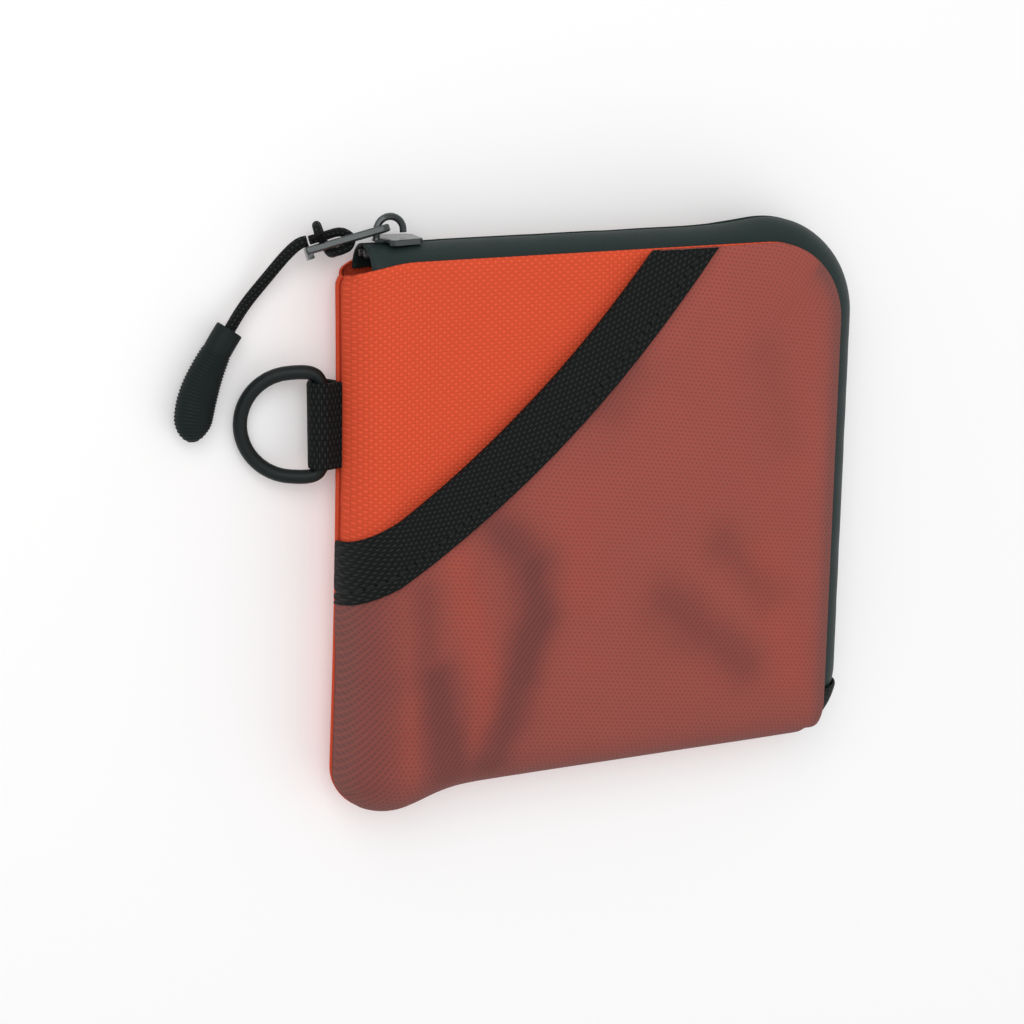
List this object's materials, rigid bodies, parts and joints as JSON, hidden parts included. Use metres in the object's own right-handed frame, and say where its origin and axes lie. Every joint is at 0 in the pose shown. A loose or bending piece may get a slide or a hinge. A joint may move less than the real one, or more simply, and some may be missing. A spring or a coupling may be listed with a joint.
{
  "type": "zip wallet",
  "caption": "Square fabric zip wallet with a see-through mesh front pocket, a corner zip with a cord pull and a D-ring on a webbing loop",
  "frame": {"origin": "middle of the flat back, with the wallet lying on its back", "axes": "+Z out of the front panel, +Y to the zipped top edge, +X to the zipped side; the D-ring is on the -X side"},
  "size_m": [0.1615, 0.1367, 0.0233],
  "materials": {
    "canvas": "plain weave",
    "mesh": "fine open mesh",
    "binding": "matt weave",
    "tape": "coated, satin",
    "coil": "satin",
    "metal": "dark gloss",
    "ring": "matt",
    "cord": "braided",
    "rubber": "matt"
  },
  "bodies": {
    "wallet": {"front_panel": "canvas", "back_panel": "canvas", "mesh_pocket": "mesh", "pocket_binding": "binding", "zipper_tape_front": "tape", "zipper_tape_back": "tape", "zipper_coil_front": "coil", "zipper_coil_back": "coil", "zip_end_tab": "binding", "webbing_loop": "binding"},
    "slider": {"zipper_slider": "metal"},
    "pull": {"pull_link": "metal", "cord_hitch": "cord", "pull_cord": "cord", "pull_grip": "rubber"},
    "ring": {"d_ring": "ring"}
  },
  "joints": [
    {"name": "zip_slide", "type": "slide", "parent": "wallet", "child": "slider", "axis": [1, 0, 0], "range_m": [0, 0.055], "deforming": ["zipper_coil_front", "zipper_coil_back"]},
    {"name": "pull_swing", "type": "hinge", "parent": "slider", "child": "pull", "pos_m": [-0.0468, 0.06675, 0.0095], "axis": [0, 0, 1], "range_deg": [-150, 0]},
    {"name": "ring_swing", "type": "hinge", "parent": "wallet", "child": "ring", "pos_m": [-0.0618, 0.025, 0.007], "axis": [0, 1, 0], "range_deg": [0, 125]}
  ],
  "couplings": [
    {"joint": "pull_swing", "follows": "zip_slide", "rad_per_m": -47}
  ]
}
